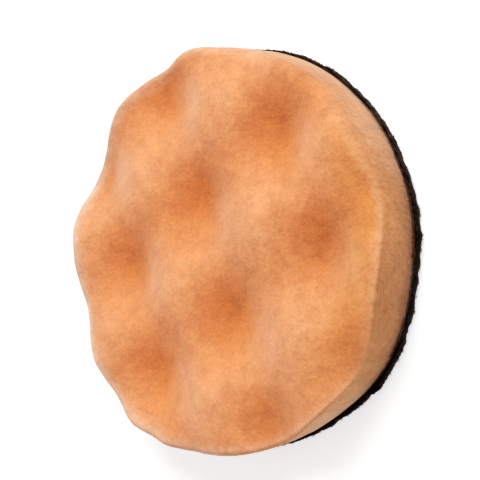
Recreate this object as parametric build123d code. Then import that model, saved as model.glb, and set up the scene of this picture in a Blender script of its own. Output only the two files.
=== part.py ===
"""Waffle-faced polishing pad: foam disc, bond line and hook-and-loop backing.

The pad lies on its loop backing.  The origin is the centre of the backing's rear face and
+Z points out of the waffle face.  All lengths are in millimetres.
"""

from build123d import *

import math
import os

# Overall pad
PAD_DIAMETER = 150.0
PAD_RADIUS = PAD_DIAMETER / 2
RIM_HEIGHT = 21.1  # mean height of the waffle face at the rim, above the rear face
FACE_DISH = 2.2  # how much lower the mean face is at the centre than at the rim

# Backing, from the rear face up
PILE_THICKNESS = 3.2
GROUND_THICKNESS = 1.0
BOND_THICKNESS = 1.0
BACKING_DIAMETER = PAD_DIAMETER + 1.5
FOAM_BASE = PILE_THICKNESS + GROUND_THICKNESS + BOND_THICKNESS

# Waffle face: two crossing sets of rolling ridges.  Each set has the direction its waves travel
# in degrees, its pitch, and its phase at the pad's axis in degrees.
FIRST_RIDGES = (204.2, 43.2, 185.0)
SECOND_RIDGES = (304.2, 44.3, -45.7)
RIDGE_HEIGHT = 4.4  # peak to valley of one set, so crossings rise and fall by twice this

RIM_ROUND = 3.0  # softened edge between the waffle face and the side wall

# Sampling of the waffle surface
FACE_REACH = PAD_RADIUS + 7.0
FACE_STEPS = 45


def ridge(x, y, direction, pitch, phase):
    """Height of one set of ridges at a point, between -1 and 1."""
    angle = math.radians(direction)
    travel = x * math.cos(angle) + y * math.sin(angle)
    return math.cos(2 * math.pi * travel / pitch + math.radians(phase))


def face_height(x, y):
    """Height of the waffle face above the rear face."""
    ridges = ridge(x, y, *FIRST_RIDGES) + ridge(x, y, *SECOND_RIDGES)
    dish = FACE_DISH * (1 - (x * x + y * y) / PAD_RADIUS**2)
    return RIM_HEIGHT - dish + RIDGE_HEIGHT / 2 * ridges


def waffle_surface():
    """The waffle face as one smooth surface, wider than the pad."""
    step = 2 * FACE_REACH / (FACE_STEPS - 1)
    places = [-FACE_REACH + step * index for index in range(FACE_STEPS)]
    grid = [[Vector(x, y, face_height(x, y)) for y in places] for x in places]
    return Face.make_surface_from_array_of_points(grid, tol=0.01)


def disc(diameter, bottom, thickness):
    """A flat round layer of the backing."""
    return Pos(0, 0, bottom) * Cylinder(
        diameter / 2, thickness, align=(Align.CENTER, Align.CENTER, Align.MIN)
    )


def foam_pad():
    """The foam body: a die-cut disc whose free face is waffle-cut and whose rim is softened."""
    blank_height = 2 * RIM_HEIGHT
    blank = disc(PAD_DIAMETER, FOAM_BASE, blank_height)
    waste = extrude(waffle_surface(), amount=2 * blank_height, dir=(0, 0, 1))
    body = (blank - waste).solid()
    above_base = [edge for edge in body.edges() if edge.center().Z > FOAM_BASE + RIM_ROUND]
    return body.fillet(RIM_ROUND, above_base)


def write(node, shape):
    """Write one sub-part to its own file."""
    shape.label = node
    export_step(shape, f"parts/{node}.step")


os.makedirs("parts", exist_ok=True)
write("foam_pad", foam_pad())
write("bond_line", disc(PAD_DIAMETER, PILE_THICKNESS + GROUND_THICKNESS, BOND_THICKNESS))
write("loop_ground", disc(BACKING_DIAMETER, PILE_THICKNESS, GROUND_THICKNESS))
write("loop_pile", disc(BACKING_DIAMETER, 0, PILE_THICKNESS))
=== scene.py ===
"""Looks of a waffle-faced foam polishing pad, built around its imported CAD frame.

The pad lies on its loop backing with its axis along +Z.  Lengths are in metres.
"""

import math

import bpy
import numpy as np
from mathutils import Matrix, Vector, noise


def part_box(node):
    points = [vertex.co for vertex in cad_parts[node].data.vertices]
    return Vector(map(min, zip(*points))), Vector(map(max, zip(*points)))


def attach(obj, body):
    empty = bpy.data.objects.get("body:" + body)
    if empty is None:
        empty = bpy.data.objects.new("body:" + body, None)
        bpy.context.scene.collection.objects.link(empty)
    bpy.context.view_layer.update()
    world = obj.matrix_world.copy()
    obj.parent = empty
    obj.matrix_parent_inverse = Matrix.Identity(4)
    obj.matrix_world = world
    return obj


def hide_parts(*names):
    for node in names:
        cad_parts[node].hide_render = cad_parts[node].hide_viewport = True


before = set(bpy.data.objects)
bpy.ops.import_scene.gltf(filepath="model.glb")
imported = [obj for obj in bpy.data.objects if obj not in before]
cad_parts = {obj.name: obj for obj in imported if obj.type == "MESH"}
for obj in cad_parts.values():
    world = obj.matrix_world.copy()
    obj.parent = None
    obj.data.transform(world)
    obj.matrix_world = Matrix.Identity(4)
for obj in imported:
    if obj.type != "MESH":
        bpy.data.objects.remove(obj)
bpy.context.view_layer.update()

MM = 0.001

# Heights and radii that the frame gives
FOAM_LOW, FOAM_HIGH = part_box("foam_pad")
BOND_LOW, BOND_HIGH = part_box("bond_line")
GROUND_LOW, GROUND_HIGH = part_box("loop_ground")
PILE_LOW, PILE_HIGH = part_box("loop_pile")
PAD_RADIUS = (FOAM_HIGH.x - FOAM_LOW.x) / 2
BACKING_RADIUS = (PILE_HIGH.x - PILE_LOW.x) / 2

# Waffle face: two crossing sets of rolling ridges (direction and phase in degrees)
RIDGE_SETS = (
    {"direction": 204.2, "pitch": 43.2 * MM, "phase": 185.0},
    {"direction": 304.2, "pitch": 44.3 * MM, "phase": -45.7},
)
RIDGE_HEIGHT = 4.4 * MM  # peak to valley of one set
FACE_MEAN = 21.1 * MM  # mean height of the face at its rim
FACE_DISH = 2.2 * MM  # how much lower its middle is

# Soft foam sags a little where two ridges cross, and leans a little to one side there
CROSSING_SAG = 0.4 * MM
CROSSING_LEAN = 0.25 * MM
LEAN_PHASE = 250.0

# Softness of the foam's rim: its roll-over, which is soft on one side and crisp on another, and
# how far the front edge is out of round.  Sides are (centre, half width) in degrees round the pad.
RIM_ROUND = 2.4 * MM
RIM_ROUND_EXTRA = 3.8 * MM
RIM_ROUND_SIDE = (58, 75)
RIM_ROUND_LOST = 1.5 * MM
RIM_CRISP_SIDE = (-25, 75)
RIM_LEAN = (-0.5 * MM, -1.4 * MM)
RIM_OVAL = (-1.3 * MM, 0.5 * MM)
RIM_LOBES = (0.7 * MM, -0.15 * MM)
WALL_BARREL = 0.3 * MM

# Relief of the cut foam, which is glued flat at its base and free from FREE_HEIGHT up.  Each noise
# here and below has its feature size, seed, octaves and height.
FREE_HEIGHT = 1.5 * MM
FOAM_DRIFT = (26 * MM, 1, 1, 0.45 * MM)
FOAM_LUMPS = (5 * MM, 2, 1, 0.17 * MM)
FOAM_GRAIN = (1.1 * MM, 3, 2, 0.07 * MM)

# Where the front edge stands out or draws in: centre and half width in degrees, and how far
RIM_LUMPS = (
    (72, 26, -0.7 * MM),
    (88, 12, 0.5 * MM),
    (100, 11, 1.45 * MM),
    (112, 7, -0.5 * MM),
    (172, 13, 1.5 * MM),
    (206, 16, -1.1 * MM),
    (241, 10, 1.6 * MM),
    (257, 7, 0.75 * MM),
    (277, 20, -0.5 * MM),
)

# Where the foot of the wall spreads over the bond, in the same terms
FOOT_SPREAD = (
    (-27, 26, 1.9 * MM),
    (6, 26, 1.05 * MM),
    (33, 16, 0.55 * MM),
)

# Painted highlight along the arris, placed by how far the rim has turned over from 0 to 1
ARRIS_SIDE = (-25, 75)
ARRIS_TURN = 0.4
ARRIS_SPREAD = 0.3

# Amber ageing just inside the rim
AMBER_SIDE = (0, 62)
AMBER_RADIUS = 66 * MM
AMBER_WIDTH = 9 * MM

# Painted sheen along the rim: least and most width and strength.  Dimples near the rim get less
# painted shade and are paler too, by the fade below.
PALE_SIDE = (190, 150)
PALE_WIDTH = (2.52 * MM, 4.62 * MM)
PALE_STRENGTH = (0.2, 1.0)
DIMPLE_SHADE_FADE = 0.12

# Painted sheen and shade on the wall: where it is duller and paler, or redder and darker: centre
# and half width in degrees, and how much
WALL_SHEEN_AND_SHADE = ((-36, 28, 1.0), (62, 46, -1.0))

# The backing was trimmed by hand: a little wide in three places, and scalloped where the cut turned
BACKING_FLARES = (
    (-32, 24, 1.9 * MM),
    (8, 14, 0.6 * MM),
    (72, 20, 0.4 * MM),
)
EDGE_WANDER = (22 * MM, 11, 1, 0.25 * MM)
SCALLOPS = (8.5 * MM, 31, 1, 1.7 * MM)
SCALLOP_INWARD = 0.3
SCALLOP_SHARE = (0.35, 1.0)
SCALLOP_SIDE = (-30, 50)
GROUND_NICKS = (3.2 * MM, 8, 2, 0.2 * MM)
PILE_NICKS = (3.2 * MM, 12, 2, 0.25 * MM)

# The brushed mat that the loops stand on: its low face, its edge's bulge and its matted relief
MAT_LOW = PILE_LOW.z + 0.4 * MM
MAT_BULGE = 0.25 * MM
MAT_RELIEF = (1.6 * MM, 14, 2, 0.22 * MM)

# Thread loops: how many, their seed, height, width, thread radius and points along each
EDGE_LOOPS = (2600, 21, 1.0 * MM, 1.1 * MM, 0.07 * MM, 7)
EDGE_LOOP_MARGIN = 0.4 * MM
EDGE_LOOP_DEPTH = 0.5 * MM
EDGE_LOOP_DROOP = (-0.6, 0.2)
FACE_LOOPS = (4200, 22, 1.4 * MM, 1.6 * MM, 0.09 * MM, 6)
FACE_LOOP_HEIGHT = 1.5 * MM
FACE_LOOP_MARGIN = 1 * MM
FACE_LOOP_JITTER = 0.01

# How much one loop differs from the next: its tilt, and its share of the height, width and radius
LOOP_TILT = 0.35
LOOP_HEIGHTS = (0.55, 1.25)
LOOP_WIDTHS = (0.6, 1.3)
LOOP_THREADS = (0.7, 1.2)

# A loop is a little more than half a circle, so its feet lie below the circle's centre.  Pressed
# loops stay LOOP_CLEARANCE above the plane that the pad rests on.
LOOP_PAST_HALF = 0.15
LOOP_FOOT_DROP = 0.45
LOOP_CLEARANCE = 0.02 * MM

# How far up the wall the painted shade and adhesive stain at its foot reach, least and most, and on
# which side they reach most.  From the threshold below on, the foam is clogged and has lost most of
# the pale sheen of its cut cells.
FOOT_SHADE_AND_STAIN_HEIGHT = (0.9 * MM, 4.2 * MM)
FOOT_SHADE_AND_STAIN_SIDE = (0, 80)
CLOGGED_FROM = 0.72
FOAM_SHEEN = 0.6
CLOGGED_SHEEN = 0.08

# The adhesive's edge: how far it has crept up the wall, how far it lies behind the wall's foot, its
# beads' size and height, and how far it bulges
BOND_CREEP = 0.3 * MM
BOND_BEHIND = 0.12 * MM
BOND_BEADS = (2.6 * MM, 5, 3, 0.2 * MM)
BOND_BULGE = 0.12 * MM

# The foam rose along Z while it set, so its cells are this much longer that way
RISE_STRETCH = 2.0

# Foam colours: the face, deeper orange as painted shade in its dimples, amber, the rim's painted
# sheen, the wall's painted shade and sheen, the painted highlight on the arris, and the painted
# shade and adhesive stain at the foot
PEACH = (0.945, 0.345, 0.178)
ORANGE = (0.875, 0.292, 0.139)
DIMPLE_SHADE_ORANGE = (0.71, 0.216, 0.087)
AMBER = (0.80, 0.258, 0.070)
RIM_SHEEN = (0.86, 0.55, 0.41)
SHADED_WALL = (0.485, 0.146, 0.052)
WALL = (0.54, 0.206, 0.090)
SHEENED_WALL = (0.63, 0.275, 0.136)
ARRIS_HIGHLIGHT = (0.82, 0.40, 0.22)
FOOT_SHADE_AND_STAIN_COLOUR = (0.034, 0.018, 0.013)

# What the foam's cells do to its colour, as multipliers
MOTTLE_TINT = (0.70, 0.695, 0.69)
GRAIN_TINT = (1.08, 1.60, 1.85)
PORE_TINT = (0.48, 0.42, 0.26)
SPECK_TINT = (1.13, 2.10, 2.70)
PIT_TINT = (0.29, 0.32, 0.30)

# Mesh density of the foam, and how much closer its rings lie towards the rim
FACE_RINGS = 126
RIM_CROWDING = 0.5
CROWDING_POWER = 8
WALL_ROWS = 26
UNDER_RINGS = 3

# Mesh density of the backing's layers and threads
EDGE_POINTS = 1440
LAYER_RINGS = 4
THREAD_SIDES = 3

# Camera: its lean from the vertical and its roll in degrees, and where it stands and aims
VIEW_TILT = 38.6
VIEW_ROLL = -1.1
VIEW_DISTANCE = 329 * MM
VIEW_LENS = 63.3
VIEW_SENSOR = 36
VIEW_TARGET = Vector((-1.9 * MM, 3.0 * MM, 0))

# Light: a big soft key, surroundings that are brightest overhead, and a floor that glows a little
KEY_PLACE = (0.02, 1.05, 0.78)
KEY_SIZE = 0.9
KEY_POWER = 18.5
KEY_COLOUR = (1.0, 0.98, 0.95)
FILL_PLACE = (0.0, -1.1, 0.25)
FILL_SIZE = 0.8
FILL_POWER = 1.9
FILL_COLOUR = (1.0, 1.0, 1.0)
ZENITH_LIGHT = 0.48
HORIZON_LIGHT = 0.15
FLOOR_GLOW = 0.45
FLOOR_REACH = 2.5
FLOOR_DROP = 0.1 * MM

# A camera's mild contrast curve: (scene value, shown value)
TONE_POINTS = (
    (0.03, 0.007),
    (0.1, 0.070),
    (0.2, 0.214),
    (0.35, 0.426),
    (0.6, 0.711),
    (0.9, 0.93),
)


# ---------------------------------------------------------------- geometry helpers


def noise_at(points, size, seed, octaves, height=1.0):
    """Smooth noise between about -height and height whose features are about size across."""
    offset = Vector((seed * 17.3, seed * 7.9, seed * 3.1))
    values = [noise.fractal(Vector(point) / size + offset, 1.0, 2.0, octaves) for point in points]
    return height * np.array(values)


def angle_bump(angle, centre, width):
    """1 at the centre angle, falling smoothly to 0 at width degrees to each side."""
    away = np.degrees(np.abs((angle - math.radians(centre) + math.pi) % (2 * math.pi) - math.pi))
    return 0.5 + 0.5 * np.cos(np.pi * np.clip(away / width, 0, 1))


def between(ends, share):
    """The value at a share of the way from the first end to the last."""
    return ends[0] + (ends[1] - ends[0]) * share


def lumps_round(angle, lumps):
    """Sum of smooth lumps round the pad, each a (centre, half width, size)."""
    return sum(size * angle_bump(angle, centre, width) for centre, width, size in lumps)


def polar(radius, angle, height):
    """Points from cylindrical coordinates."""
    return np.stack([radius * np.cos(angle), radius * np.sin(angle), height], axis=-1)


def disc_grid(rings):
    """A square grid bent into a disc: each vertex's share of the radius, its angle, the quads."""
    side = 2 * rings + 1
    a, b = np.meshgrid(np.arange(-rings, rings + 1), np.arange(-rings, rings + 1), indexing="ij")
    a = a.ravel().astype(float)
    b = b.ravel().astype(float)
    reach = np.maximum(np.abs(a), np.abs(b))
    safe = np.maximum(reach, 1)
    across = np.abs(a) >= np.abs(b)
    angle = np.where(
        across,
        np.where(a >= 0, 0, np.pi) + np.pi / 4 * (b / safe) * np.sign(a),
        np.where(b >= 0, np.pi / 2, -np.pi / 2) - np.pi / 4 * (a / safe) * np.sign(b),
    )
    index = np.arange(side * side).reshape(side, side)
    quads = np.stack(
        [index[:-1, :-1], index[1:, :-1], index[1:, 1:], index[:-1, 1:]], axis=-1
    ).reshape(-1, 4)
    return reach / rings, angle, quads


def disc_border(rings):
    """The outermost vertices of disc_grid, counter-clockwise."""
    side = 2 * rings + 1
    index = np.arange(side * side).reshape(side, side)
    return np.concatenate(
        [index[:-1, 0], index[-1, :-1], index[:0:-1, -1], index[0, :0:-1]]
    )


def new_mesh(name, points, faces):
    """A mesh object with smooth faces, not yet on any body."""
    mesh = bpy.data.meshes.new(name)
    mesh.from_pydata([tuple(point) for point in points], [], [tuple(face) for face in faces])
    mesh.polygons.foreach_set("use_smooth", [True] * len(mesh.polygons))
    mesh.update()
    piece = bpy.data.objects.new(name, mesh)
    bpy.context.scene.collection.objects.link(piece)
    return piece


def add_attribute(piece, name, values):
    """Store one number per vertex for the material to read."""
    attribute = piece.data.attributes.new(name, "FLOAT", "POINT")
    attribute.data.foreach_set("value", values.astype(np.float32))


def push_out(piece, amount):
    """Move every vertex along its normal."""
    count = len(piece.data.vertices)
    normals = np.zeros(count * 3, np.float32)
    piece.data.vertex_normals.foreach_get("vector", normals)
    places = np.zeros(count * 3, np.float32)
    piece.data.vertices.foreach_get("co", places)
    moved = places.reshape(-1, 3) + normals.reshape(-1, 3) * amount[:, None]
    piece.data.vertices.foreach_set("co", moved.astype(np.float32).ravel())
    piece.data.update()


def vertex_places(piece):
    """All vertex positions of a piece."""
    places = np.zeros(len(piece.data.vertices) * 3, np.float32)
    piece.data.vertices.foreach_get("co", places)
    return places.reshape(-1, 3)


def fit_on_pad(piece, material, slot, *nodes):
    """Give a piece its material, put it on the pad's body and hide the frame's parts that it stands
    for.
    """
    piece.data.materials.append(material)
    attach(piece, "root")
    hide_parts(*nodes)


# ---------------------------------------------------------------- foam


def ridge_phases(x, y):
    """How far each set of ridges has turned at a point, in radians."""
    phases = []
    for ridges in RIDGE_SETS:
        angle = math.radians(ridges["direction"])
        travel = x * math.cos(angle) + y * math.sin(angle)
        phases.append(2 * np.pi * travel / ridges["pitch"] + math.radians(ridges["phase"]))
    return phases


def waffle(x, y):
    """The waffle pattern at a point: 1 on a bump's top, -1 at the bottom of a dimple."""
    first, second = ridge_phases(x, y)
    return (np.cos(first) + np.cos(second)) / 2


def face_height(x, y):
    """Height of the waffle face above the floor."""
    first, second = ridge_phases(x, y)
    dish = FACE_DISH * (1 - (x * x + y * y) / PAD_RADIUS**2)
    crossing = CROSSING_SAG * np.cos(first) * np.cos(second)
    lean = CROSSING_LEAN * np.cos(first + second - math.radians(LEAN_PHASE))
    return FACE_MEAN - dish + RIDGE_HEIGHT * waffle(x, y) - crossing + lean


def rim_round(angle):
    """How softly the rim rolls over, which varies round the pad."""
    soft = RIM_ROUND_EXTRA * angle_bump(angle, *RIM_ROUND_SIDE)
    crisp = RIM_ROUND_LOST * angle_bump(angle, *RIM_CRISP_SIDE)
    return RIM_ROUND + soft - crisp


def rim_radius(angle):
    """Radius of the foam's front edge: soft foam leans and goes a little out of round."""
    radius = PAD_RADIUS + lumps_round(angle, RIM_LUMPS)
    for turns, (along, across) in enumerate((RIM_LEAN, RIM_OVAL, RIM_LOBES), start=1):
        radius += along * np.cos(turns * angle) + across * np.sin(turns * angle)
    return radius


def foot_radius(angle):
    """Radius of the foot of the wall, where the foam meets the bond."""
    return PAD_RADIUS + lumps_round(angle, FOOT_SPREAD)


def wall_slope(angle):
    """How far the wall slopes outwards on its way down, in radians."""
    drop = FACE_MEAN - rim_round(angle) - FOAM_LOW.z
    return np.arctan2(foot_radius(angle) - rim_radius(angle), drop)


def foam_face_points():
    """The waffle face and its rolled rim, on a disc grid, and how far the rim has turned over."""
    share, angle, quads = disc_grid(FACE_RINGS)
    share = share + RIM_CROWDING * share**CROWDING_POWER * (1 - share)
    roll = rim_round(angle)
    flat = rim_radius(angle) - roll
    full_turn = np.pi / 2 - wall_slope(angle)
    along = share * (flat + roll * full_turn)
    turn = np.clip((along - flat) / roll, 0, full_turn)
    radius = np.minimum(along, flat) + roll * np.sin(turn)
    x = radius * np.cos(angle)
    y = radius * np.sin(angle)
    height = face_height(x, y) - roll * (1 - np.cos(turn))
    return np.stack([x, y, height], axis=-1), quads, turn / full_turn


def foam_wall_rows(border_points):
    """Rings of points down the die-cut wall, from the rolled rim to the bond."""
    angle = np.arctan2(border_points[:, 1], border_points[:, 0])
    front = np.hypot(border_points[:, 0], border_points[:, 1])
    foot = foot_radius(angle)
    top = border_points[:, 2]
    rows = []
    for row in range(1, WALL_ROWS + 1):
        down = row / WALL_ROWS
        radius = front + (foot - front) * down + WALL_BARREL * math.sin(math.pi * down)
        rows.append(polar(radius, angle, top + (FOAM_LOW.z - top) * down))
    return rows


def stitch_rings(upper, lower):
    """Quads between two closed rings of vertex numbers of the same length."""
    return np.stack([upper, lower, np.roll(lower, -1), np.roll(upper, -1)], axis=-1)


def add_stains_and_painted_light(foam, places, turned):
    """Where the foam's colour differs: painted shade in its valleys and down its wall, painted
    sheen and a painted highlight round its rim, painted shade and adhesive stain at its foot, and
    amber inside the rim.
    """
    x, y = places[:, 0], places[:, 1]
    angle = np.arctan2(y, x)
    radius = np.hypot(x, y)
    wall = np.ones(len(places))
    wall[: len(turned)] = turned
    # Painted shade in the dimples, weaker towards the rim.
    dimple_shade = 0.5 - 0.5 * waffle(x, y) - DIMPLE_SHADE_FADE * (radius / PAD_RADIUS) ** 2
    add_attribute(foam, "dimple_shade", dimple_shade * (1 - wall))
    add_attribute(foam, "wall", wall)
    # Painted sheen on one side of the wall, painted shade on the other.
    add_attribute(foam, "wall_sheen_and_shade", lumps_round(angle, WALL_SHEEN_AND_SHADE))
    # Painted highlight along the arris.
    arris_highlight = np.exp(-(((wall - ARRIS_TURN) / ARRIS_SPREAD) ** 2))
    add_attribute(foam, "arris_highlight", arris_highlight * angle_bump(angle, *ARRIS_SIDE))
    # Painted sheen along the rim, strongest on one side.
    inward = rim_radius(angle) - radius
    side = angle_bump(angle, *PALE_SIDE)
    pale = np.exp(-((inward / between(PALE_WIDTH, side)) ** 2)) * (1 - wall**2)
    add_attribute(foam, "pale", pale * between(PALE_STRENGTH, side))
    # Painted shade and adhesive stain, darker towards the foot of the wall.
    shade_and_stain_height = between(FOOT_SHADE_AND_STAIN_HEIGHT, angle_bump(angle, *FOOT_SHADE_AND_STAIN_SIDE))
    add_attribute(foam, "foot_shade_and_stain", np.exp(-(places[:, 2] - FOAM_LOW.z) / shade_and_stain_height))
    band = np.exp(-(((radius - AMBER_RADIUS) / AMBER_WIDTH) ** 2))
    add_attribute(foam, "amber", band * angle_bump(angle, *AMBER_SIDE) * (1 - wall))


def sharpen_base(foam):
    """Shade the base flat, so that the foot of the wall keeps its own shading."""
    for face in foam.data.polygons:
        faces_down = face.normal.z < -0.99
        face.use_smooth = not faces_down


def clog_foot(foam, material):
    """Give the foot of the wall and the base, which adhesive has clogged, their own material."""
    foam.data.materials.append(material)
    # The foot is picked by how dark its painted shade and stain are.
    foot_shade_and_stain = foam.data.attributes["foot_shade_and_stain"].data
    for face in foam.data.polygons:
        if min(foot_shade_and_stain[corner].value for corner in face.vertices) > CLOGGED_FROM:
            face.material_index = 1


def make_foam(material, clogged_material):
    """The foam body as one closed mesh with open-cell grain on all its cut surfaces."""
    points, quads, turned = foam_face_points()
    ring = disc_border(FACE_RINGS)
    border = points[ring]
    parts = [points]
    faces = [quads]
    count = len(points)
    angle = np.arctan2(border[:, 1], border[:, 0])
    rows = foam_wall_rows(border)
    for step in range(1, UNDER_RINGS + 1):
        shrink = 1 - step / (UNDER_RINGS + 1)
        rows.append(polar(foot_radius(angle) * shrink, angle, np.full(len(angle), FOAM_LOW.z)))
    for row in rows:
        lower = np.arange(count, count + len(row))
        faces.append(stitch_rings(ring, lower))
        parts.append(row)
        ring = lower
        count += len(row)
    parts.append(np.array([[0, 0, FOAM_LOW.z]]))
    faces = [tuple(face) for group in faces for face in group]
    faces += [(count, ring[i - 1], ring[i]) for i in range(len(ring))]
    foam = new_mesh("foam_pad_body", np.concatenate(parts), faces)
    sharpen_base(foam)

    places = vertex_places(foam)
    add_stains_and_painted_light(foam, places, turned)
    free = np.clip((places[:, 2] - FOAM_LOW.z) / FREE_HEIGHT, 0, 1)
    squeezed = places * (1, 1, 1 / RISE_STRETCH)
    relief = noise_at(places, *FOAM_DRIFT)
    relief += noise_at(squeezed, *FOAM_LUMPS)
    relief += noise_at(squeezed, *FOAM_GRAIN)
    push_out(foam, free * relief)
    fit_on_pad(foam, material, "foam", "foam_pad")
    clog_foot(foam, clogged_material)


# ---------------------------------------------------------------- backing


def backing_radius(angle, nicks):
    """Radius of the trimmed backing's uneven edge, with a layer's own nicks."""
    around = polar(BACKING_RADIUS, angle, 0 * angle)
    scallop_size, scallop_seed, octaves, depth = SCALLOPS
    deep = depth * between(SCALLOP_SHARE, angle_bump(angle, *SCALLOP_SIDE))
    scallops = np.abs(noise_at(around, scallop_size, scallop_seed, octaves)) - SCALLOP_INWARD
    radius = BACKING_RADIUS + lumps_round(angle, BACKING_FLARES) + deep * scallops
    return radius + noise_at(around, *EDGE_WANDER) + noise_at(around, *nicks)


def bond_radius(angle, beads):
    """Radius of the bond line, which squeezes out unevenly round the foot of the foam."""
    around = polar(PAD_RADIUS, angle, 0 * angle)
    return foot_radius(angle) - BOND_BEHIND + noise_at(around, *beads)


def layer(name, low, high, edge_radius, edge_noise, rows, bulge=0.0):
    """A thin round layer with an uneven edge, in rows from its high face down to its low one."""
    angle = np.linspace(0, 2 * np.pi, EDGE_POINTS, endpoint=False)
    edge = edge_radius(angle, edge_noise)
    flat_rings = [1 - 0.5 * ring / (LAYER_RINGS + 1) for ring in range(1, LAYER_RINGS + 1)]
    parts = [polar(edge * share, angle, np.full(EDGE_POINTS, high)) for share in flat_rings[::-1]]
    for row in range(rows + 1):
        share = row / rows
        height = high + (low - high) * share
        radius = edge + bulge * math.sin(math.pi * share)
        parts.append(polar(radius, angle, np.full(EDGE_POINTS, height)))
    parts += [polar(edge * share, angle, np.full(EDGE_POINTS, low)) for share in flat_rings]
    faces = []
    for step in range(len(parts) - 1):
        upper = np.arange(step * EDGE_POINTS, (step + 1) * EDGE_POINTS)
        faces += [tuple(face) for face in stitch_rings(upper, upper + EDGE_POINTS)]
    top_centre = len(parts) * EDGE_POINTS
    last_ring = top_centre - EDGE_POINTS
    for corner in range(EDGE_POINTS):
        faces.append((top_centre, corner, (corner + 1) % EDGE_POINTS))
    for corner in range(EDGE_POINTS):
        faces.append((top_centre + 1, last_ring + (corner + 1) % EDGE_POINTS, last_ring + corner))
    parts.append(np.array([[0, 0, high], [0, 0, low]]))
    return new_mesh(name, np.concatenate(parts), faces)


def thread_rings(line, radius):
    """Rings of points round a thin thread that follows a line."""
    along = np.gradient(line, axis=0)
    along /= np.linalg.norm(along, axis=1)[:, None]
    any_other_way = np.array([0.31, 0.52, 0.79])
    first = np.cross(along, any_other_way)
    first /= np.linalg.norm(first, axis=1)[:, None]
    second = np.cross(along, first)
    turns = np.linspace(0, 2 * np.pi, THREAD_SIDES, endpoint=False)[None, :, None]
    ring = np.cos(turns) * first[:, None] + np.sin(turns) * second[:, None]
    return (line[:, None] + ring * radius).reshape(-1, 3)


def loops_mesh(name, feet, outs, seed, height, width, thread, steps):
    """Many small thread loops. Each stands on its foot and reaches along its out direction."""
    chooser = np.random.default_rng(seed)
    turn = np.linspace(-LOOP_PAST_HALF * np.pi, (1 + LOOP_PAST_HALF) * np.pi, steps)
    ring_quads = []
    for step in range(steps - 1):
        for side in range(THREAD_SIDES):
            a = step * THREAD_SIDES + side
            b = step * THREAD_SIDES + (side + 1) % THREAD_SIDES
            ring_quads.append((a, b, b + THREAD_SIDES, a + THREAD_SIDES))
    ring_quads = np.array(ring_quads)
    points = []
    faces = []
    for number, (foot, out) in enumerate(zip(feet, outs)):
        tilt = out + chooser.normal(0, LOOP_TILT, 3)
        tilt /= np.linalg.norm(tilt)
        sideways = np.cross(tilt, chooser.normal(0, 1, 3))
        sideways /= np.linalg.norm(sideways)
        tall = height * chooser.uniform(*LOOP_HEIGHTS)
        wide = width * chooser.uniform(*LOOP_WIDTHS)
        across = np.cos(turn) * wide / 2
        rise = (LOOP_FOOT_DROP + np.sin(turn)) * tall / (1 + LOOP_FOOT_DROP)
        line = foot + np.outer(across, sideways) + np.outer(rise, tilt)
        points.append(thread_rings(line, thread * chooser.uniform(*LOOP_THREADS)))
        faces.append(ring_quads + number * steps * THREAD_SIDES)
    points = np.concatenate(points)
    points[:, 2] = np.maximum(points[:, 2], PILE_LOW.z + LOOP_CLEARANCE)
    return new_mesh(name, points, np.concatenate(faces).tolist())


def edge_loops(count, seed, *loop):
    """Loose loops that stand out of the backing's trimmed edge."""
    chooser = np.random.default_rng(seed)
    angle = chooser.uniform(0, 2 * np.pi, count)
    low = PILE_LOW.z + EDGE_LOOP_MARGIN
    height = chooser.uniform(low, GROUND_HIGH.z - EDGE_LOOP_MARGIN, count)
    feet = polar(backing_radius(angle, PILE_NICKS) - EDGE_LOOP_DEPTH, angle, height)
    outs = polar(np.ones(count), angle, chooser.uniform(*EDGE_LOOP_DROOP, count))
    return loops_mesh("loop_pile_edge", feet, outs, seed, *loop)


def face_loops(count, seed, *loop):
    """The standing loops of the gripping face under the pad, spread by the golden angle."""
    chooser = np.random.default_rng(seed)
    number = np.arange(count)
    radius = (BACKING_RADIUS - FACE_LOOP_MARGIN) * np.sqrt((number + 0.5) / count)
    golden_angle = math.pi * (3 - math.sqrt(5))
    angle = number * golden_angle + chooser.normal(0, FACE_LOOP_JITTER, count)
    feet = polar(radius, angle, np.full(count, PILE_LOW.z + FACE_LOOP_HEIGHT))
    outs = np.tile([0.0, 0.0, -1.0], (count, 1))
    return loops_mesh("loop_pile_loops", feet, outs, seed, *loop)


def make_backing(bond_material, ground_material, pile_material):
    """Bond line, knitted ground and loop pile."""
    bond = layer(
        "bond_line_edge",
        BOND_LOW.z,
        BOND_HIGH.z + BOND_CREEP,
        bond_radius,
        BOND_BEADS,
        rows=8,
        bulge=BOND_BULGE,
    )
    fit_on_pad(bond, bond_material, "bond", "bond_line")
    ground = layer(
        "loop_ground_cloth", GROUND_LOW.z, GROUND_HIGH.z, backing_radius, GROUND_NICKS, rows=4
    )
    fit_on_pad(ground, ground_material, "loop_ground", "loop_ground")
    mat = layer(
        "loop_pile_mat", MAT_LOW, PILE_HIGH.z, backing_radius, PILE_NICKS, rows=7, bulge=MAT_BULGE
    )
    push_out(mat, noise_at(vertex_places(mat), *MAT_RELIEF))
    fit_on_pad(mat, pile_material, "loop_pile", "loop_pile")
    edge = edge_loops(*EDGE_LOOPS)
    fit_on_pad(edge, pile_material, "loop_pile", "loop_pile")
    loops = face_loops(*FACE_LOOPS)
    fit_on_pad(loops, pile_material, "loop_pile", "loop_pile")


# ---------------------------------------------------------------- materials


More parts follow.
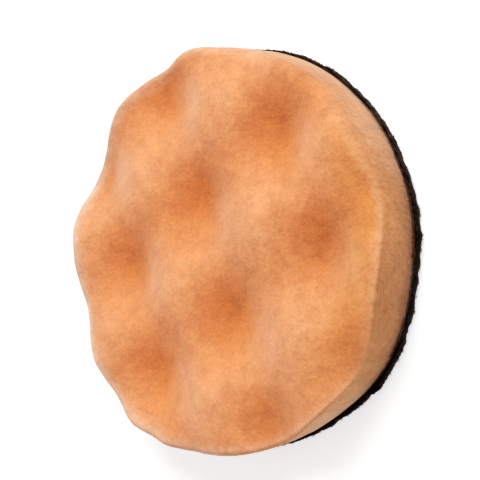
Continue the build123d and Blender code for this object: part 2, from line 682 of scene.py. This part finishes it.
class Graph:
    """One material's node tree, with short calls to add and join nodes."""

    def __init__(self, name):
        self.material = bpy.data.materials.new(name)
        self.material.use_nodes = True
        self.tree = self.material.node_tree
        self.shader = next(n for n in self.tree.nodes if n.type == "BSDF_PRINCIPLED")
        self.where = self.tree.nodes.new("ShaderNodeTexCoord").outputs["Object"]

    def stretch_along_z(self, amount):
        """Make every texture made after this one longer along Z."""
        node = self.tree.nodes.new("ShaderNodeMapping")
        node.inputs["Scale"].default_value = (1, 1, 1 / amount)
        self.join(self.where, node.inputs["Vector"])
        self.where = node.outputs["Vector"]

    def join(self, source, target):
        """Link an output socket to an input socket."""
        self.tree.links.new(source, target)

    def fill(self, socket, value):
        """Give an input socket a value: another socket, a colour or a number."""
        if isinstance(value, tuple):
            socket.default_value = (*value, 1)
        elif isinstance(value, (int, float)):
            socket.default_value = value
        else:
            self.join(value, socket)

    def noise(self, size, detail=2.0, roughness=0.5):
        """Noise whose features are about size metres across."""
        node = self.tree.nodes.new("ShaderNodeTexNoise")
        node.inputs["Scale"].default_value = 1 / size
        node.inputs["Detail"].default_value = detail
        node.inputs["Roughness"].default_value = roughness
        self.join(self.where, node.inputs["Vector"])
        return node.outputs["Fac"]

    def cells(self, size):
        """Distance to the nearest of scattered points about size metres apart."""
        node = self.tree.nodes.new("ShaderNodeTexVoronoi")
        node.inputs["Scale"].default_value = 1 / size
        self.join(self.where, node.inputs["Vector"])
        return node.outputs["Distance"]

    def wales(self, scale, distortion):
        """Slanting wavy bands."""
        node = self.tree.nodes.new("ShaderNodeTexWave")
        node.wave_type = "BANDS"
        node.bands_direction = "DIAGONAL"
        node.inputs["Scale"].default_value = scale
        node.inputs["Distortion"].default_value = distortion
        self.join(self.where, node.inputs["Vector"])
        return node.outputs["Fac"]

    def attribute(self, name):
        """A number that add_attribute stored on the piece."""
        node = self.tree.nodes.new("ShaderNodeAttribute")
        node.attribute_name = name
        return node.outputs["Fac"]

    def ramp(self, source, stops):
        """Colours along a value. Each stop is (position, (r, g, b))."""
        node = self.tree.nodes.new("ShaderNodeValToRGB")
        while len(node.color_ramp.elements) < len(stops):
            node.color_ramp.elements.new(0.5)
        for element, (position, colour) in zip(node.color_ramp.elements, stops):
            element.position = position
            element.color = (*colour, 1)
        self.join(source, node.inputs["Fac"])
        return node.outputs["Color"]

    def spread(self, source, low, high, to_low=0.0, to_high=1.0):
        """Map a value from low..high to to_low..to_high, clamped."""
        node = self.tree.nodes.new("ShaderNodeMapRange")
        node.inputs["From Min"].default_value = low
        node.inputs["From Max"].default_value = high
        node.inputs["To Min"].default_value = to_low
        node.inputs["To Max"].default_value = to_high
        self.join(source, node.inputs["Value"])
        return node.outputs["Result"]

    def math(self, operation, first, second):
        """Join two values, each a socket or a number, by an operation such as ADD."""
        node = self.tree.nodes.new("ShaderNodeMath")
        node.operation = operation
        for socket, value in zip(node.inputs, (first, second)):
            self.fill(socket, value)
        return node.outputs[0]

    def mix(self, share, first, second, blend="MIX"):
        """Mix two colours by a share, each a socket or (r, g, b)."""
        node = self.tree.nodes.new("ShaderNodeMix")
        node.data_type = "RGBA"
        node.blend_type = blend
        sockets = [s for s in node.inputs if s.enabled and s.name in ("Factor", "A", "B")]
        for socket, value in zip(sockets, (share, first, second)):
            self.fill(socket, value)
        return next(output for output in node.outputs if output.enabled)

    def bump(self, height, distance, strength, below=None):
        """A normal bumped by a height, on top of the normal below."""
        node = self.tree.nodes.new("ShaderNodeBump")
        node.inputs["Distance"].default_value = distance
        node.inputs["Strength"].default_value = strength
        self.join(height, node.inputs["Height"])
        if below is not None:
            self.join(below, node.inputs["Normal"])
        return node.outputs["Normal"]

    def finish(self, colour, roughness, normal, **constants):
        """Join the shader, set its constant sockets and return the material."""
        self.join(colour, self.shader.inputs["Base Color"])
        self.join(roughness, self.shader.inputs["Roughness"])
        self.join(normal, self.shader.inputs["Normal"])
        for name, value in constants.items():
            self.shader.inputs[name.replace("_", " ")].default_value = value
        return self.material


def foam_face_colour(g):
    """Peach, with painted shade making the dimples deeper orange, amber on one side and painted
    sheen making the rim pale.
    """
    patches = g.spread(g.noise(14 * MM, 4, 0.6), 0.3, 0.7, -0.2, 0.2)
    # Painted shade: the colour turns deeper orange down into the dimples.
    depth = g.math("ADD", g.attribute("dimple_shade"), patches)
    colour = g.ramp(depth, ((0.0, PEACH), (0.5, ORANGE), (1.0, DIMPLE_SHADE_ORANGE)))
    colour = g.mix(g.math("MULTIPLY", g.attribute("amber"), 0.6), colour, AMBER)
    # Painted sheen along the rim.
    return g.mix(g.attribute("pale"), colour, RIM_SHEEN)


def foam_wall_colour(g):
    """Painted shade: darker than the face, with more painted shade, redder, on one side and painted
    sheen, paler, on the other.
    """
    wall_sheen_and_shade = g.spread(g.attribute("wall_sheen_and_shade"), -1.0, 1.0)
    return g.ramp(wall_sheen_and_shade, ((0.0, SHADED_WALL), (0.5, WALL), (1.0, SHEENED_WALL)))


def foam_foot_shade_and_stain(g, colour):
    """Painted shade and adhesive stain, darkening raggedly up from the foot of the wall where it
    meets the bond.
    """
    ragged = g.spread(g.noise(1.6 * MM, 4, 0.7), 0.25, 0.75, 0.65, 1.2)
    foot_shade_and_stain = g.math("MULTIPLY", g.attribute("foot_shade_and_stain"), ragged)
    return g.mix(g.spread(foot_shade_and_stain, 0.0, 0.9, 0.0, 0.96), colour, FOOT_SHADE_AND_STAIN_COLOUR)


def foam_material(name, sheen):
    """Matt open-cell foam with fine grain and pores, pale specks and a few dark pits."""
    g = Graph(name)
    # The wall's darker colour is painted shade.
    colour = g.mix(g.attribute("wall"), foam_face_colour(g), foam_wall_colour(g))
    # Painted highlight along the arris.
    colour = g.mix(g.math("MULTIPLY", g.attribute("arris_highlight"), 0.75), colour, ARRIS_HIGHLIGHT)
    mottle = g.ramp(g.noise(7 * MM, 5, 0.85), ((0.36, MOTTLE_TINT), (0.64, (1.0, 1.0, 1.0))))
    colour = g.mix(1.0, colour, mottle, "MULTIPLY")
    g.stretch_along_z(RISE_STRETCH)
    grain = g.noise(1.2 * MM, 3, 0.6)
    pores = g.cells(0.9 * MM)
    specks = g.spread(g.cells(2.3 * MM), 0.0, 0.14, 0.4, 0.0)
    pits = g.spread(g.cells(8.0 * MM), 0.0, 0.035, 0.7, 0.0)
    colour = g.mix(g.spread(grain, 0.3, 0.75, 0.0, 0.25), colour, GRAIN_TINT, "MULTIPLY")
    colour = g.mix(g.spread(pores, 0.0, 0.35, 0.2, 0.0), colour, PORE_TINT, "MULTIPLY")
    colour = g.mix(specks, colour, SPECK_TINT, "MULTIPLY")
    colour = g.mix(pits, colour, PIT_TINT, "MULTIPLY")
    # Painted shade and adhesive stain at the foot of the wall.
    colour = foam_foot_shade_and_stain(g, colour)
    roughness = g.spread(grain, 0.2, 0.8, 0.85, 1.0)
    pore_bump = g.bump(pores, 0.2 * MM, 0.3)
    normal = g.bump(grain, 0.3 * MM, 0.35, pore_bump)
    return g.finish(
        colour,
        roughness,
        normal,
        Sheen_Weight=sheen,
        Sheen_Roughness=0.5,
        Sheen_Tint=(1.0, 0.87, 0.72, 1),
        Specular_IOR_Level=0.15,
    )


def bond_material():
    """Dark brown hot-melt adhesive, blotchy and a little glossier than the foam."""
    g = Graph("adhesive")
    blotch = g.noise(2.5 * MM, 4)
    colour = g.ramp(blotch, ((0.35, (0.030, 0.016, 0.011)), (0.75, (0.085, 0.038, 0.020))))
    roughness = g.spread(blotch, 0.3, 0.7, 0.55, 0.8)
    normal = g.bump(g.noise(0.8 * MM, 3), 0.3 * MM, 0.7)
    return g.finish(colour, roughness, normal, Specular_IOR_Level=0.3)


def ground_material():
    """Black warp-knit ground cloth with fine wales."""
    g = Graph("black_knit")
    knit = g.wales(0.3 / MM, 2.0)
    colour = g.ramp(knit, ((0.0, (0.022, 0.014, 0.011)), (1.0, (0.055, 0.036, 0.029))))
    roughness = g.spread(knit, 0, 1, 0.95, 0.75)
    normal = g.bump(knit, 0.3 * MM, 0.6)
    return g.finish(colour, roughness, normal, Sheen_Weight=0.05, Specular_IOR_Level=0.1)


def pile_material():
    """Black brushed nylon loops."""
    g = Graph("black_loops")
    fluff = g.noise(1.1 * MM, 4, 0.7)
    patches = g.noise(9 * MM, 2)
    colour = g.ramp(fluff, ((0.25, (0.013, 0.010, 0.009)), (0.75, (0.066, 0.046, 0.038))))
    colour = g.mix(g.spread(patches, 0.35, 0.7, 0, 0.5), colour, (0.042, 0.032, 0.030))
    roughness = g.spread(fluff, 0.2, 0.8, 0.95, 0.7)
    normal = g.bump(fluff, 0.4 * MM, 0.6)
    return g.finish(
        colour,
        roughness,
        normal,
        Sheen_Weight=0.15,
        Sheen_Roughness=0.4,
        Sheen_Tint=(0.9, 0.8, 0.7, 1),
        Specular_IOR_Level=0.25,
    )


def floor_material():
    """Plain white light table with a faint texture."""
    g = Graph("pale_floor")
    cloud = g.noise(120 * MM, 2)
    colour = g.ramp(cloud, ((0.3, (0.90, 0.90, 0.90)), (0.7, (0.92, 0.92, 0.92))))
    roughness = g.spread(cloud, 0.3, 0.7, 0.8, 0.9)
    normal = g.bump(g.noise(2 * MM, 2), 0.02 * MM, 0.1)
    return g.finish(
        colour,
        roughness,
        normal,
        Specular_IOR_Level=0.1,
        Emission_Color=(1, 1, 1, 1),
        Emission_Strength=FLOOR_GLOW,
    )


# ---------------------------------------------------------------- camera, light and floor


def make_camera():
    """The camera leans over the pad's +X side, with +Y up in the picture."""
    tilt = math.radians(VIEW_TILT)
    roll = math.radians(VIEW_ROLL)
    back = Vector((math.sin(tilt), 0, math.cos(tilt)))
    side = Vector((math.cos(tilt), 0, -math.sin(tilt)))
    along = Vector((0, 1, 0))
    place = back * VIEW_DISTANCE
    back = (place - VIEW_TARGET).normalized()
    up = along * math.cos(roll) + side * math.sin(roll)
    right = up.cross(back).normalized()
    up = back.cross(right)
    camera = bpy.data.objects.new("camera", bpy.data.cameras.new("camera"))
    bpy.context.scene.collection.objects.link(camera)
    axes = Matrix((right, up, back)).transposed().to_4x4()
    camera.matrix_world = Matrix.Translation(place) @ axes
    camera.data.lens = VIEW_LENS
    camera.data.sensor_width = VIEW_SENSOR
    camera.data.clip_start = 0.01
    bpy.context.scene.camera = camera


def make_area_light(name, place, size, power, colour):
    """A soft square light aimed at the pad."""
    light = bpy.data.objects.new(name, bpy.data.lights.new(name, "AREA"))
    bpy.context.scene.collection.objects.link(light)
    light.data.size = size
    light.data.energy = power
    light.data.color = colour
    light.location = place
    light.rotation_mode = "QUATERNION"
    light.rotation_quaternion = Vector(place).to_track_quat("Z", "Y")


def make_surroundings():
    """White surroundings that grow brighter from the horizon to the zenith."""
    world = bpy.data.worlds.new("studio")
    world.use_nodes = True
    background = next(n for n in world.node_tree.nodes if n.type == "BACKGROUND")
    background.inputs["Color"].default_value = (1, 1, 1, 1)
    nodes = world.node_tree.nodes
    direction = nodes.new("ShaderNodeSeparateXYZ")
    height = nodes.new("ShaderNodeMapRange")
    height.inputs["To Min"].default_value = HORIZON_LIGHT
    height.inputs["To Max"].default_value = ZENITH_LIGHT
    links = world.node_tree.links
    links.new(nodes.new("ShaderNodeTexCoord").outputs["Generated"], direction.inputs[0])
    links.new(direction.outputs["Z"], height.inputs["Value"])
    links.new(height.outputs["Result"], background.inputs["Strength"])
    return world


def make_studio():
    """Pale floor, a soft key light and a weak fill, and white surroundings."""
    signs = ((-1, -1), (1, -1), (1, 1), (-1, 1))
    corners = [(FLOOR_REACH * x, FLOOR_REACH * y, 0) for x, y in signs]
    floor = new_mesh("floor", corners, [(0, 1, 2, 3)])
    floor.location.z = PILE_LOW.z - FLOOR_DROP
    floor.data.materials.append(floor_material())
    make_area_light("key", KEY_PLACE, KEY_SIZE, KEY_POWER, KEY_COLOUR)
    make_area_light("fill", FILL_PLACE, FILL_SIZE, FILL_POWER, FILL_COLOUR)
    bpy.context.scene.world = make_surroundings()


def set_tone():
    """Show the scene through the contrast curve and nothing else."""
    view = bpy.context.scene.view_settings
    view.view_transform = "Standard"
    view.look = "None"
    view.use_curve_mapping = True
    for place, value in TONE_POINTS:
        view.curve_mapping.curves[3].points.new(place, value)
    view.curve_mapping.update()


make_camera()
make_foam(foam_material("peach_foam", FOAM_SHEEN), foam_material("clogged_foam", CLOGGED_SHEEN))
make_backing(bond_material(), ground_material(), pile_material())
make_studio()
set_tone()
